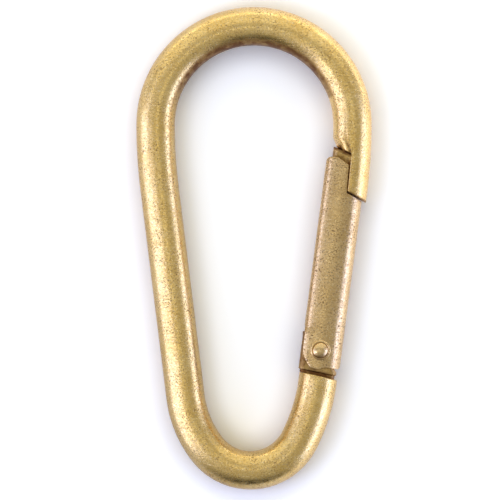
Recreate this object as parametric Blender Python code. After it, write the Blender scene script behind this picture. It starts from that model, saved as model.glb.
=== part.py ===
"""Spring-gate snap hook bent from round brass bar, with a folded sheet gate.

The hook lies flat: X across, Y along its length with the wide bend at +Y, Z through its
thickness. The gate is on the +X side and swings inwards about a rivet parallel to Z.
Sizes are in millimetres and become metres where a mesh is made.

Two flat frames are used besides the world's:
  bar ring   w = distance outwards from the bar's centreline, z = height above mid-thickness
  gate frame v = across the gate (outwards), u = along it from the rivet towards the nose
"""
import math

import bmesh
import bpy
import numpy as np
from mathutils import Matrix, Vector

MM = 0.001

# Bar and loop
BAR_RADIUS = 4.0
HOOK_LENGTH = 100.0
TOP_BEND_RADIUS = 20.4          # centreline radius of the wide bend
EASING_RADIUS = 105.0           # gentle arcs that lead out of the wide bend on both sides
SPINE_LEAN = 7.1                # degrees that the straight spine leans from Y
SPINE_SIDE_RADIUS = 22.0        # arc from the spine into the narrow bend
SPINE_SIDE_END = 52.0           # degrees from straight down where that arc ends
TAIL_SIDE_RADIUS = 38.0
TAIL_SIDE_END = 63.0
BAR_SIDES = 24                  # facets round the bar; one lies flat at the top, one below

# Gate: a sheet folded to a rounded box, measured from the rivet
RIVET_AT = (14.03, -21.12)
GATE_LEAN = 7.5                 # degrees that the closed gate leans from Y
GATE_OPENS = 28.0               # degrees, inwards
SHEET = 0.9
GATE_HALF_WIDTH = 4.2
GATE_HALF_DEPTH = 3.6
GATE_CORNER = 2.2
GATE_TOP = 40.0
GATE_FOOT = -4.1
WEB_STARTS = 4.75               # the inner side of the fold is cut away below this
EAR_OPEN_DEPTH = 2.7            # half height of that cut
EAR_EDGE = -3.85                # inner edge of the ears below the straight part
EAR_ROUND = 3.0                 # radius of the ears' lower corner, on the inner side
EAR_STRAIGHT_TO = -1.1          # the ears' inner edge is straight down to here
FOOT_ROUND = 1.2                # and the rounding of the gate's foot on the outer side
FOOT_OUTER = -3.6
TOP_ROUND = 1.2                 # rounding of the gate's top corner, on the inner side
NOTCH_CORNER = (0.3, 38.6)      # the notch for the nose starts here and at NOTCH_EDGE
NOTCH_EDGE = -1.5
WINDOW_EDGE = -1.0              # v up to which the inner side's opening is cut
SEAT_AT = 29.2                  # tab folded in from the outer side that holds the spring
SEAT_REACH = -2.0
SEAT_HALF_DEPTH = 2.0
LAP_GAP = 0.3                   # between the gate's sloping edge and the nose
CLEAR_OF_GATE = 6.0             # cutters reach this far from the gate's middle
CLEAR_ABOVE = 44.0
CLEAR_BELOW = -8.0

# Nose: half of the bar goes on at full thickness, a thinner tongue lies beside it
LAP_FOOT = (1.03, 33.1)         # lap face, lower and upper end, in the gate frame
LAP_HEAD = (0.76, 40.8)
NOSE_SLOPE = 22.6               # degrees that the nose's end and its shoulder slope
NOSE_SHOULDER = 41.35           # u on the bar's centreline
NOSE_LOBE = 3.0                 # length over which the inner half of the bar draws in
NOSE_NARROWING = 0.25           # share by which it has drawn in at the shoulder
TONGUE_HALF_DEPTH = 2.4
NOSE_TONGUE_EDGE = -2.7
STEP_RUN = 0.3                  # each shoulder slopes back by this much

# Tail: a flattened tongue between the gate's ears, with a cam at its end
TAIL_SHOULDER = -5.45
TAIL_SHOULDER_SLOPE = 5.7
TAIL_INNER_EDGE = -4.3
TAIL_OUTER_EDGE = 3.1
TAIL_COLLAR = 3.6               # outer edge below the gate's foot
TAIL_STATIONS = (-4.7, -4.1, -3.6, 0.0, 0.8, 1.45, 2.4)     # u of its rings up to the cam
CAM_SWINGS = (34.0, 26.0, 18.0, 9.0, 0.0)
TAIL_END = 4.15
CAM_RATE = 1.8                  # plunger travel, mm per radian of gate swing
TONGUE_CORNER = 1.2

# Rivet, plunger and spring
RIVET_RADIUS = 1.3
RIVET_HOLE = 1.38
HEAD_RADIUS = 2.05
HEAD_GAP = 0.12
HEAD_RIM = 0.22                 # height of the flat rim round the dome
DOME_RADIUS = 1.72
DOME_HEIGHT = 0.72
BACK_HEAD_HEIGHT = 0.2
BACK_HEAD_RADII = (1.9, 1.7)
PLUNGER_HEAD_RADIUS = 2.2
PLUNGER_HEAD_THICKNESS = 1.0
PLUNGER_PIN_RADIUS = 1.0
PLUNGER_LENGTH = 13.0
PLUNGER_GAP = 0.25
PLUNGER_CHAMFER = 0.4
SPRING_RADIUS = 1.72
WIRE_RADIUS = 0.3
WIRE_SIDES = 6
SPRING_TURNS = 15
STEPS_PER_TURN = 14
CLOSED_GAP = 0.06               # between the closed turns at the spring's ends
SPRING_GAP = 0.25


# ---------------------------------------------------------------- plane geometry

def direction(degrees):
    angle = math.radians(degrees)
    return Vector((math.cos(angle), math.sin(angle)))


GATE_ACROSS = direction(-GATE_LEAN)
GATE_ALONG = direction(90.0 - GATE_LEAN)
RIVET = Vector(RIVET_AT)
TOP_CENTRE = Vector((0.0, HOOK_LENGTH / 2 - BAR_RADIUS - TOP_BEND_RADIUS))


def to_gate(point):
    """World point to (v, u)."""
    offset = point - RIVET
    return Vector((offset.dot(GATE_ACROSS), offset.dot(GATE_ALONG)))


def narrow_bend():
    """Centre and radius of the narrow bend, tangent to both side arcs and to the length."""
    spine_out, spine_end = direction(180 + SPINE_LEAN), direction(270 - SPINE_SIDE_END)
    tail_out, tail_end = direction(-GATE_LEAN), direction(270 + TAIL_SIDE_END)
    spine_easing = TOP_CENTRE + Vector((EASING_RADIUS - TOP_BEND_RADIUS, 0.0))
    spine_cos, tail_cos = spine_end.dot(spine_out), tail_end.dot(tail_out)
    left = [[spine_out.x, spine_out.y, spine_cos],
            [tail_out.x, tail_out.y, tail_cos],
            [0.0, 1.0, -1.0]]
    right = [spine_easing.dot(spine_out) + EASING_RADIUS - SPINE_SIDE_RADIUS * (1 - spine_cos),
             RIVET.dot(tail_out) - TAIL_SIDE_RADIUS * (1 - tail_cos),
             BAR_RADIUS - HOOK_LENGTH / 2]
    x, y, radius = (float(value) for value in np.linalg.solve(left, right))
    return Vector((x, y)), radius


def arc(centre, radius, start, end, steps):
    """Stations on an arc: (point on the centreline, outward direction)."""
    stations = []
    for i in range(steps + 1):
        out = direction(start + (end - start) * i / steps)
        stations.append((centre + radius * out, out))
    return stations


def loop_stations():
    """The bar's centreline from above the nose's shoulder, round both bends, to the tail."""
    offset = Vector((EASING_RADIUS - TOP_BEND_RADIUS, 0.0))
    bottom, bottom_radius = narrow_bend()
    spine_end, tail_end = direction(270 - SPINE_SIDE_END), direction(270 + TAIL_SIDE_END)
    spine_side = bottom - (SPINE_SIDE_RADIUS - bottom_radius) * spine_end
    tail_side = bottom - (TAIL_SIDE_RADIUS - bottom_radius) * tail_end
    stations = arc(TOP_CENTRE, TOP_BEND_RADIUS, 0, 180, 36)
    stations += arc(TOP_CENTRE + offset, EASING_RADIUS, 180, 180 + SPINE_LEAN, 4)[1:]
    stations += arc(spine_side, SPINE_SIDE_RADIUS, 180 + SPINE_LEAN, 270 - SPINE_SIDE_END, 7)
    stations += arc(bottom, bottom_radius, 270 - SPINE_SIDE_END, 270 + TAIL_SIDE_END, 18)[1:]
    stations += arc(tail_side, TAIL_SIDE_RADIUS, TAIL_SIDE_END - 90, -GATE_LEAN, 6)[1:]
    return stations


def nose_station(drop):
    """Centreline of the nose, drop millimetres along Y below the wide bend's centre."""
    angle = -math.degrees(math.asin(drop / EASING_RADIUS))
    centre = TOP_CENTRE - Vector((EASING_RADIUS - TOP_BEND_RADIUS, 0.0))
    return centre + EASING_RADIUS * direction(angle), direction(angle)


def sheared(out, slope):
    """Ring direction that leans by slope degrees, still one unit long across the bar."""
    along = Vector((-out.y, out.x))
    return out + math.tan(math.radians(slope)) * along


def crossing(point, ray, line_start, line_end):
    """Distance along ray from point to a line given by two points."""
    run = line_end - line_start
    gap = line_start - point
    return (gap.x * run.y - gap.y * run.x) / (ray.x * run.y - ray.y * run.x)


def gate_line(start, end):
    """A line given in the gate frame as two (v, u) points, in world coordinates."""
    return [RIVET + v * GATE_ACROSS + u * GATE_ALONG for v, u in (start, end)]


# ---------------------------------------------------------------- ring sections

HALF_RING = BAR_SIDES // 2


def round_section():
    """Upper half of the bar's section, outer side first, as (w, z) points."""
    corner_radius = BAR_RADIUS / math.cos(math.pi / BAR_SIDES)
    angles = [math.pi * (k + 0.5) / HALF_RING for k in range(HALF_RING)]
    return [(corner_radius * math.cos(a), corner_radius * math.sin(a)) for a in angles]


def tongue_side(edge, inwards, count, corner=TONGUE_CORNER, depth=TONGUE_HALF_DEPTH):
    """Rounded edge of a tongue, from its side up to its flat, as (w, z) points."""
    points = []
    for k in range(count):
        angle = 0.5 * math.pi * k / (count - 1)
        w = edge + inwards * corner * (1 - math.cos(angle))
        points.append((w, depth - corner * (1 - math.sin(angle))))
    return points


def lapped_section(lap, edge):
    """Nose: the outer half of the bar beyond the lap face, and the tongue inside it."""
    start = math.pi * 0.5 / HALF_RING
    corner_radius = BAR_RADIUS / math.cos(start)
    end = math.acos(lap / corner_radius)
    half = HALF_RING // 2
    outer = []
    for k in range(half):
        angle = start + (end - start) * k / (half - 1)
        outer.append((corner_radius * math.cos(angle), corner_radius * math.sin(angle)))
    inner = tongue_side(edge, 1, half - 1, corner=min(TONGUE_CORNER, 0.7 * (lap - edge)))
    return outer + [(lap, TONGUE_HALF_DEPTH)] + inner[::-1]


def tail_section(inner_edge, outer_edge):
    """Tail tongue: a flat bar with rounded edges."""
    half = HALF_RING // 2
    outer = tongue_side(outer_edge, -1, half)
    inner = tongue_side(inner_edge, 1, half)
    return outer + inner[::-1]


def ring(point, across, section):
    """Closed ring of world points from the upper half of a section."""
    full = section + [(w, -z) for w, z in reversed(section)]
    return [Vector((*(point + w * across), z + BAR_RADIUS)) for w, z in full]


# ---------------------------------------------------------------- the bar's rings

def nose_rings():
    """Rings from the nose's end up to the wide bend."""
    lap_line = gate_line(LAP_FOOT, LAP_HEAD)
    edge_line = gate_line((NOSE_TONGUE_EDGE, 30.0), (NOSE_TONGUE_EDGE, 45.0))
    shoulder_drop = drop_at(NOSE_SHOULDER)
    foot_drop = drop_at(LAP_FOOT[1])
    rings = []
    for i in range(5):
        drop = foot_drop + (shoulder_drop + STEP_RUN - foot_drop) * i / 4
        point, out = nose_station(drop)
        across = sheared(out, -NOSE_SLOPE)
        lap = crossing(point, across, *lap_line)
        edge = crossing(point, across, *edge_line)
        rings.append(ring(point, across, lapped_section(lap, edge)))
    for i in range(6):
        share = i / 5
        drop = shoulder_drop - NOSE_LOBE * share
        point, out = nose_station(drop)
        across = sheared(out, -NOSE_SLOPE * (1 - 0.5 * share))
        narrowed = 1 - NOSE_NARROWING * (1 - share) ** 2
        section = [(w * narrowed if w < 0 else w, z) for w, z in round_section()]
        rings.append(ring(point, across, section))
    for share in (0.55, 0.8):
        drop = (shoulder_drop - NOSE_LOBE) * (1 - share)
        point, out = nose_station(drop)
        rings.append(ring(point, sheared(out, -NOSE_SLOPE * 0.5 * (1 - share)), round_section()))
    return rings


def drop_at(along):
    """How far below the wide bend's centre the nose's centreline reaches u = along."""
    low, high = 0.0, 25.0
    for _ in range(40):
        middle = (low + high) / 2
        if to_gate(nose_station(middle)[0]).y > along:
            low = middle
        else:
            high = middle
    return low


def cam_point(swing):
    """Point of the tail's end that the plunger touches at a swing in degrees, as (v, u)."""
    angle = math.radians(swing)
    reach = TAIL_END + CAM_RATE * angle
    u = reach * math.cos(angle) - CAM_RATE * math.sin(angle)
    v = -reach * math.sin(angle) - CAM_RATE * math.cos(angle)
    return v, u


def tail_outer_edge(along):
    """Outer edge of the tail tongue: round about the rivet, then a flat stop face."""
    stop = math.radians(90 - GATE_OPENS)
    if along <= GATE_FOOT:
        return TAIL_COLLAR
    if along <= 0:
        return TAIL_OUTER_EDGE
    if along <= TAIL_OUTER_EDGE * math.cos(stop):
        return math.sqrt(TAIL_OUTER_EDGE ** 2 - along ** 2)
    return (TAIL_OUTER_EDGE - along * math.cos(stop)) / math.sin(stop)


def tail_rings():
    """Rings from the tail's shoulder to the end of its tongue."""
    start = RIVET + TAIL_SHOULDER * GATE_ALONG
    across = sheared(GATE_ACROSS, -TAIL_SHOULDER_SLOPE)
    rings = [ring(start, across, round_section())]
    rings.append(ring(start + STEP_RUN * GATE_ALONG, across,
                      tail_section(-BAR_RADIUS, TAIL_COLLAR)))
    edges = [(u, TAIL_INNER_EDGE) for u in TAIL_STATIONS]
    edges += [(u, v) for v, u in (cam_point(swing) for swing in CAM_SWINGS)]
    for along, inner in edges:
        point = RIVET + along * GATE_ALONG
        rings.append(ring(point, GATE_ACROSS, tail_section(inner, tail_outer_edge(along))))
    return rings


# ---------------------------------------------------------------- mesh helpers

def material(name, colour, roughness, metallic=1.0):
    made = bpy.data.materials.new(name)
    made.use_nodes = True
    shader = made.node_tree.nodes["Principled BSDF"]
    shader.inputs["Base Color"].default_value = (*colour, 1.0)
    shader.inputs["Roughness"].default_value = roughness
    shader.inputs["Metallic"].default_value = metallic
    made.diffuse_color = (*colour, 1.0)
    return made


def add_object(name, mesh_data, finish=None, parent=None, smooth=30):
    """Write a bmesh in millimetres to a new object in metres."""
    bmesh.ops.recalc_face_normals(mesh_data, faces=mesh_data.faces)
    bmesh.ops.scale(mesh_data, vec=(MM, MM, MM), verts=mesh_data.verts)
    mesh = bpy.data.meshes.new(name)
    mesh_data.to_mesh(mesh)
    mesh_data.free()
    mesh.shade_smooth()
    mesh.set_sharp_from_angle(angle=math.radians(smooth))
    made = bpy.data.objects.new(name, mesh)
    bpy.context.scene.collection.objects.link(made)
    if finish:
        mesh.materials.append(finish)
    made.parent = parent
    return made


def loft(rings):
    """Skin a list of equal rings and close both ends."""
    made = bmesh.new()
    loops = [[made.verts.new(point) for point in points] for points in rings]
    count = len(loops[0])
    for first, second in zip(loops, loops[1:]):
        for k in range(count):
            other = (k + 1) % count
            made.faces.new((first[k], first[other], second[other], second[k]))
    made.faces.new(loops[0])
    made.faces.new(loops[-1])
    return made


def prism(outline, low, high):
    """Upright prism over an outline of (x, y) points."""
    return loft([[(x, y, z) for x, y in outline] for z in (low, high)])


def turned(profile, sides):
    """Solid of revolution about Z from (radius, z) points that start and end on the axis."""
    made = bmesh.new()
    verts = [made.verts.new((radius, 0.0, z)) for radius, z in profile]
    edges = [made.edges.new(pair) for pair in zip(verts, verts[1:])]
    bmesh.ops.spin(made, geom=verts + edges, axis=(0, 0, 1), cent=(0, 0, 0),
                   angle=2 * math.pi, steps=sides, use_merge=True)
    bmesh.ops.remove_doubles(made, verts=made.verts, dist=1e-4)
    return made


def arc_points(centre, radius, start, end, steps):
    angles = [math.radians(start + (end - start) * i / steps) for i in range(steps + 1)]
    return [(centre[0] + radius * math.cos(a), centre[1] + radius * math.sin(a)) for a in angles]


def rounded_box(half_width, half_depth, corner, steps=5):
    """Outline of a rounded rectangle."""
    points = []
    for turn, (sx, sy) in enumerate(((1, 1), (-1, 1), (-1, -1), (1, -1))):
        centre = (sx * (half_width - corner), sy * (half_depth - corner))
        points += arc_points(centre, corner, 90 * turn, 90 * turn + 90, steps)
    return points


def boolean(target, tool, operation="DIFFERENCE"):
    """Keep the tool as a hidden wire object and cut or join with it."""
    tool.hide_render = True
    tool.display_type = "WIRE"
    step = target.modifiers.new(tool.name, "BOOLEAN")
    step.operation = operation
    step.object = tool
    step.solver = "EXACT"


# ---------------------------------------------------------------- the pieces

def make_body(finish):
    rings = nose_rings()
    rings += [ring(point, out, round_section()) for point, out in loop_stations()]
    rings += tail_rings()
    body = add_object("body", loft(rings), finish, smooth=25)
    hole = prism(arc_points(RIVET_AT, RIVET_HOLE, 0, 345, 23), -2.0, 2 * BAR_RADIUS + 2.0)
    boolean(body, add_object("cut_rivet_hole_body", hole))
    return body


def make_gate(finish, pivot):
    """Folded sheet in the pivot's frame: x = v, y = u."""
    def lengthwise(section, along):
        return [(x, along, z) for x, z in section]

    outer = rounded_box(GATE_HALF_WIDTH, GATE_HALF_DEPTH, GATE_CORNER)
    inner = rounded_box(GATE_HALF_WIDTH - SHEET, GATE_HALF_DEPTH - SHEET, GATE_CORNER - SHEET)
    folded = bmesh.new()
    loops = [[folded.verts.new(point) for point in lengthwise(section, along)]
             for section, along in ((outer, GATE_FOOT), (outer, GATE_TOP),
                                    (inner, GATE_TOP), (inner, GATE_FOOT))]
    count = len(outer)
    for first, second in zip(loops, loops[1:] + loops[:1]):
        for k in range(count):
            other = (k + 1) % count
            folded.faces.new((first[k], first[other], second[other], second[k]))
    gate = add_object("gate", folded, finish, pivot)

    slope = math.tan(math.radians(NOSE_SLOPE))
    lap_foot = (LAP_FOOT[0] - LAP_GAP, LAP_FOOT[1] - LAP_GAP / math.cos(math.radians(NOSE_SLOPE)))
    far = CLEAR_OF_GATE
    nose_notch = [NOTCH_CORNER, lap_foot, (far, lap_foot[1] - slope * (far - lap_foot[0])),
                  (far, CLEAR_ABOVE), (NOTCH_EDGE, CLEAR_ABOVE), (NOTCH_EDGE, GATE_TOP)]
    ear_centre = (EAR_EDGE + EAR_ROUND, EAR_STRAIGHT_TO)
    foot_centre = (GATE_HALF_WIDTH - FOOT_ROUND, FOOT_OUTER + FOOT_ROUND)
    foot = [(-far, EAR_STRAIGHT_TO)] + arc_points(ear_centre, EAR_ROUND, 180, 270, 6)
    foot += arc_points(foot_centre, FOOT_ROUND, 270, 360, 4)
    foot += [(far, foot_centre[1]), (far, CLEAR_BELOW), (-far, CLEAR_BELOW)]
    top_centre = (TOP_ROUND - GATE_HALF_WIDTH, GATE_TOP - TOP_ROUND)
    top_corner = [(-far, top_centre[1])] + arc_points(top_centre, TOP_ROUND, 180, 90, 4)
    top_corner += [(top_centre[0], CLEAR_ABOVE), (-far, CLEAR_ABOVE)]
    window = [(-far, CLEAR_BELOW), (WINDOW_EDGE, CLEAR_BELOW), (WINDOW_EDGE, WEB_STARTS),
              (-far, WEB_STARTS)]
    hole = arc_points((0, 0), RIVET_HOLE, 0, 345, 23)
    cuts = (("cut_nose_notch", nose_notch, far), ("cut_foot", foot, far),
            ("cut_top_corner", top_corner, far), ("cut_inner_side", window, EAR_OPEN_DEPTH),
            ("cut_rivet_hole_gate", hole, far))
    for name, outline, half_height in cuts:
        boolean(gate, add_object(name, prism(outline, -half_height, half_height), None, pivot))

    tab_end = GATE_HALF_WIDTH - SHEET / 2
    tab = [(SEAT_REACH, SEAT_AT), (tab_end, SEAT_AT), (tab_end, SEAT_AT + SHEET),
           (SEAT_REACH, SEAT_AT + SHEET)]
    seat = prism(tab, -SEAT_HALF_DEPTH, SEAT_HALF_DEPTH)
    boolean(gate, add_object("add_spring_seat", seat, None, pivot), "UNION")
    return gate


def make_rivet(finish, pivot):
    """Shank through both ears, domed head above and a low set head below."""
    seat = GATE_HALF_DEPTH + HEAD_GAP
    profile = [(0.0, seat + DOME_HEIGHT)]
    for k in range(1, 5):
        angle = 0.5 * math.pi * k / 5
        profile.append((DOME_RADIUS * math.sin(angle),
                        seat + HEAD_RIM + (DOME_HEIGHT - HEAD_RIM) * math.cos(angle)))
    profile += [(DOME_RADIUS, seat + HEAD_RIM), (HEAD_RADIUS, seat + 0.8 * HEAD_RIM),
                (HEAD_RADIUS, seat), (RIVET_RADIUS, seat), (RIVET_RADIUS, -seat),
                (BACK_HEAD_RADII[0], -seat), (BACK_HEAD_RADII[1], -seat - BACK_HEAD_HEIGHT),
                (0.0, -seat - BACK_HEAD_HEIGHT)]
    return add_object("rivet", turned(profile, 24), finish, pivot)


def make_plunger(finish, pivot):
    """Nail-shaped follower: its head rides on the end of the tail."""
    tip = PLUNGER_LENGTH
    profile = [(0.0, 0.0), (PLUNGER_HEAD_RADIUS, 0.0),
               (PLUNGER_HEAD_RADIUS, PLUNGER_HEAD_THICKNESS),
               (PLUNGER_PIN_RADIUS, PLUNGER_HEAD_THICKNESS),
               (PLUNGER_PIN_RADIUS, tip - PLUNGER_CHAMFER),
               (PLUNGER_PIN_RADIUS - PLUNGER_CHAMFER, tip), (0.0, tip)]
    plunger = add_object("plunger", turned(profile, 20), finish, pivot)
    plunger.rotation_euler = (math.radians(-90), 0, 0)
    plunger.location = (0, (TAIL_END + PLUNGER_GAP) * MM, 0)
    return plunger


def make_spring(finish, pivot):
    """Coil between the plunger's head and the folded tab, with closed end turns."""
    low = TAIL_END + PLUNGER_GAP + PLUNGER_HEAD_THICKNESS + SPRING_GAP + WIRE_RADIUS
    high = SEAT_AT - SPRING_GAP - WIRE_RADIUS
    end_pitch = 2 * WIRE_RADIUS + CLOSED_GAP
    pitch = (high - low - 2 * end_pitch) / (SPRING_TURNS - 2)
    rings = []
    for step in range(SPRING_TURNS * STEPS_PER_TURN + 1):
        turn = step / STEPS_PER_TURN
        if turn < 1:
            along = low + end_pitch * turn
        elif turn > SPRING_TURNS - 1:
            along = high - end_pitch * (SPRING_TURNS - turn)
        else:
            along = low + end_pitch + pitch * (turn - 1)
        angle = 2 * math.pi * turn
        out = Vector((math.cos(angle), 0.0, math.sin(angle)))
        centre = SPRING_RADIUS * out + Vector((0.0, along, 0.0))
        wire = [2 * math.pi * k / WIRE_SIDES for k in range(WIRE_SIDES)]
        rings.append([centre + WIRE_RADIUS * (math.cos(a) * out + math.sin(a) * Vector((0, 1, 0)))
                      for a in wire])
    return add_object("spring", loft(rings), finish, pivot, smooth=70)


def main():
    for existing in list(bpy.data.objects):
        bpy.data.objects.remove(existing, do_unlink=True)
    bar_brass = material("bar_brass", (0.72, 0.52, 0.20), 0.32)
    sheet_brass = material("sheet_brass", (0.68, 0.47, 0.24), 0.36)
    pin_brass = material("pin_brass", (0.66, 0.46, 0.21), 0.30)
    spring_steel = material("spring_steel", (0.55, 0.54, 0.52), 0.35)

    pivot = bpy.data.objects.new("gate_pivot", None)
    bpy.context.scene.collection.objects.link(pivot)
    pivot.matrix_world = (Matrix.Translation((RIVET.x * MM, RIVET.y * MM, BAR_RADIUS * MM))
                          @ Matrix.Rotation(math.radians(-GATE_LEAN), 4, "Z"))

    make_body(bar_brass)
    make_gate(sheet_brass, pivot)
    make_rivet(pin_brass, pivot)
    make_plunger(pin_brass, pivot)
    make_spring(spring_steel, pivot)


main()
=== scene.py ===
"""Looks of the spring-gate snap hook: fine meshes, brass finishes, soft studio light and camera.

Lengths are in millimetres in the geometry below and become metres where a mesh is made.
Frames: the bar's rings use w = outwards from the centreline and z = height above mid-thickness;
the gate uses v = across it (outwards), u = along it from the rivet towards the nose, and the
same z. The gate's sheet is drawn as a flat pattern in p = distance round the fold, and u.
"""
import math

import bmesh
import bpy
import numpy as np
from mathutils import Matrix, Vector
from mathutils.geometry import delaunay_2d_cdt


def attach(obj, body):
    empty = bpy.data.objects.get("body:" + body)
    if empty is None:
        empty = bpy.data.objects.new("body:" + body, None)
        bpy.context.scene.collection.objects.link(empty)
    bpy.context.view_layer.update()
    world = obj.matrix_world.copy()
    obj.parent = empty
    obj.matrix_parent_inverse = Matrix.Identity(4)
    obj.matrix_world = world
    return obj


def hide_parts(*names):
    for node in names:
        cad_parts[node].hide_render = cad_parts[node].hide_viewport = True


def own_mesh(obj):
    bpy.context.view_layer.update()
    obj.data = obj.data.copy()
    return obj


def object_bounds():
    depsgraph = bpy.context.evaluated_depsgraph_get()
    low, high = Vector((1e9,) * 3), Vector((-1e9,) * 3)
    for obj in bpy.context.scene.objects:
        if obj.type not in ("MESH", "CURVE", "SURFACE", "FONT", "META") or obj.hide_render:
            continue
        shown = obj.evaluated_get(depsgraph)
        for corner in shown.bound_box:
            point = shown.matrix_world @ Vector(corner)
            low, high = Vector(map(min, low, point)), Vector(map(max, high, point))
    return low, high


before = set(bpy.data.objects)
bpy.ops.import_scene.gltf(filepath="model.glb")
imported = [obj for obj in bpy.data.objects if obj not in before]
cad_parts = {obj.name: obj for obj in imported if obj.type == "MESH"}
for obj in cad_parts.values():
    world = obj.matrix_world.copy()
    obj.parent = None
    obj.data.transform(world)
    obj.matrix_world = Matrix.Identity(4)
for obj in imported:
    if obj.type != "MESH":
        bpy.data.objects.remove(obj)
cad_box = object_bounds()

MM = 0.001

# Bar and loop, as in the CAD model
BAR_RADIUS = 4.0
HOOK_LENGTH = 100.0
TOP_BEND_RADIUS = 20.4
EASING_RADIUS = 105.0
SPINE_LEAN = 7.1
SPINE_SIDE_RADIUS = 22.0
SPINE_SIDE_END = 52.0
TAIL_SIDE_RADIUS = 38.0
TAIL_SIDE_END = 63.0
HALF_RING = 40                  # points on the upper half of a section of the bar

# Gate
RIVET_AT = (14.03, -21.12)
GATE_LEAN = 7.5
GATE_OPENS = 28.0
SHEET = 0.9
GATE_HALF_WIDTH = 4.2
GATE_HALF_DEPTH = 3.6
GATE_CORNERS = (2.0, 3.2)       # radii of the folds on the inner and the outer side
GATE_CROWN = 9.0                # radius of the gently crowned faces
CROWN_V = -0.7                  # where across the gate its faces are highest
GATE_TOP = 40.0
GATE_FOOT = -4.1
WEB_STARTS = 4.75
EAR_EDGE = -4.1                 # v of the ears' inner edge
EAR_PRESSED = 0.46              # share by which the ears' inner bend is pressed flat
SEAT_AT = 29.2
LAP_GAP = 0.13                  # the fine sheet comes closer to the nose than the CAD solid
RIM_FINE = 0.14                 # rounding of the sheet's cut edges
RIM_EAR = 0.42                  # rounding of the hammered rim round the ears
RIM_BACK = 0.12                 # chamfer on the sheet's back and round the rivet's holes
GRID_CLEARANCE = 0.16           # least distance from a rim to the inner points

# Nose
LAP_FOOT = (1.03, 33.1)
LAP_HEAD = (0.76, 40.8)
NOSE_SLOPE = 22.6
NOSE_SHOULDER = 41.05
TONGUE_HALF_DEPTH = 2.4
NOSE_TONGUE_EDGE = -3.05
TONGUE_CORNER = 1.2
LAP_ROUND = 0.24                # rounding of the nose's sawn edges
LOBE_ROUND = 0.4                # rounding of the inner half's end
LOBE_LENGTH = 2.2               # length over which the inner half draws in
LOBE_NARROWING = 0.17
LOBE_SLANT = 1.7                # how far its flank slants away from the crease
CREASE_LENGTH = 6.0             # length of the crease beside it
CREASE_DEPTH = 0.3
END_SLANT = 0.16                # how far the nose's end cut leans along the nose, either way
LOBE_BEND = 20.0                # degrees of the wide bend over which the sections even out

# Darkening inside the wide bend: partly patina, partly painted shade standing in for a dark
# reflection there
TARNISH_AND_SHADE_RISE = 1.4              # how fast it grows along the bend
TARNISH_AND_SHADE_STARTS = 0.56           # how far round the bar's inner side it starts
TARNISH_AND_SHADE_FADE = 0.25

# Tail
TAIL_SHOULDER = -5.35
TAIL_SHOULDER_SLOPE = 6.0
TAIL_INNER_EDGE = -4.3
TAIL_OUTER_EDGE = 3.1
TAIL_COLLAR = 3.6
TAIL_END = 4.15
CAM_RATE = 1.8
TAIL_ROUND = 0.22
BAR_STOPS = 0.8                 # the bar's plain rings end this far before the shoulder
# Groove and then collar above the shoulder: (distance, lean, inset, patina and painted shade:
# painted shade in the groove, fading to patina on the collar)
TAIL_NECK = ((0.02, 1.0, 0.3, 1.0), (0.3, 1.0, 0.32, 1.0), (0.6, 0.8, 0.28, 1.0),
             (0.72, 0.7, 0.1, 0.9), (0.84, 0.6, 0.0, 0.7), (1.2, 0.3, 0.0, 0.6))

# Rivet, plunger and spring
RIVET_RADIUS = 1.3
RIVET_HOLE = 1.38
HEAD_RADIUS = 2.08
HEAD_GAP = 0.03
DOME_HEIGHT = 0.86
DOME_RADIUS = 1.56
HEAD_SHIFT = (-0.26, 0.03)      # the hammered head sits off the shank's axis
DOME_SHIFT = (-0.24, -0.16)     # and its dome off the ring's centre
BEAD_HEIGHT = 0.26              # of the ring round the dome
VALLEY_HEIGHT = 0.1             # of the low place between them
BACK_HEAD_HEIGHT = 0.2
PLUNGER_HEAD_RADIUS = 2.2
PLUNGER_HEAD_THICKNESS = 1.0
PLUNGER_PIN_RADIUS = 1.0
PLUNGER_LENGTH = 13.0
PLUNGER_GAP = 0.25
SPRING_RADIUS = 1.72
WIRE_RADIUS = 0.3
SPRING_TURNS = 15
SPRING_GAP = 0.25


# -------------------- plane geometry

def direction(degrees):
    angle = math.radians(degrees)
    return Vector((math.cos(angle), math.sin(angle)))


GATE_ACROSS = direction(-GATE_LEAN)
GATE_ALONG = direction(90.0 - GATE_LEAN)
RIVET = Vector(RIVET_AT)
TOP_CENTRE = Vector((0.0, HOOK_LENGTH / 2 - BAR_RADIUS - TOP_BEND_RADIUS))


def to_gate(point):
    """(v, u) of a plan point, in the frame of the closed gate."""
    offset = point - RIVET
    return Vector((offset.dot(GATE_ACROSS), offset.dot(GATE_ALONG)))


def from_gate(v, u, z):
    """Point of the closed gate in the world, in millimetres."""
    flat = RIVET + v * GATE_ACROSS + u * GATE_ALONG
    return flat.x, flat.y, z + BAR_RADIUS


def smooth_step(value):
    value = min(max(value, 0.0), 1.0)
    return value * value * (3 - 2 * value)


def narrow_bend():
    """Centre and radius of the narrow bend, tangent to both side arcs and to the length."""
    spine_out, spine_end = direction(180 + SPINE_LEAN), direction(270 - SPINE_SIDE_END)
    tail_out, tail_end = direction(-GATE_LEAN), direction(270 + TAIL_SIDE_END)
    spine_easing = TOP_CENTRE + Vector((EASING_RADIUS - TOP_BEND_RADIUS, 0.0))
    spine_cos, tail_cos = spine_end.dot(spine_out), tail_end.dot(tail_out)
    left = [[spine_out.x, spine_out.y, spine_cos],
            [tail_out.x, tail_out.y, tail_cos],
            [0.0, 1.0, -1.0]]
    right = [spine_easing.dot(spine_out) + EASING_RADIUS - SPINE_SIDE_RADIUS * (1 - spine_cos),
             RIVET.dot(tail_out) - TAIL_SIDE_RADIUS * (1 - tail_cos),
             BAR_RADIUS - HOOK_LENGTH / 2]
    x, y, radius = (float(value) for value in np.linalg.solve(left, right))
    return Vector((x, y)), radius


def arc(centre, radius, start, end, steps):
    """Stations on an arc: (point on the centreline, outward direction)."""
    stations = []
    for i in range(steps + 1):
        out = direction(start + (end - start) * i / steps)
        stations.append((centre + radius * out, out))
    return stations


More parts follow.
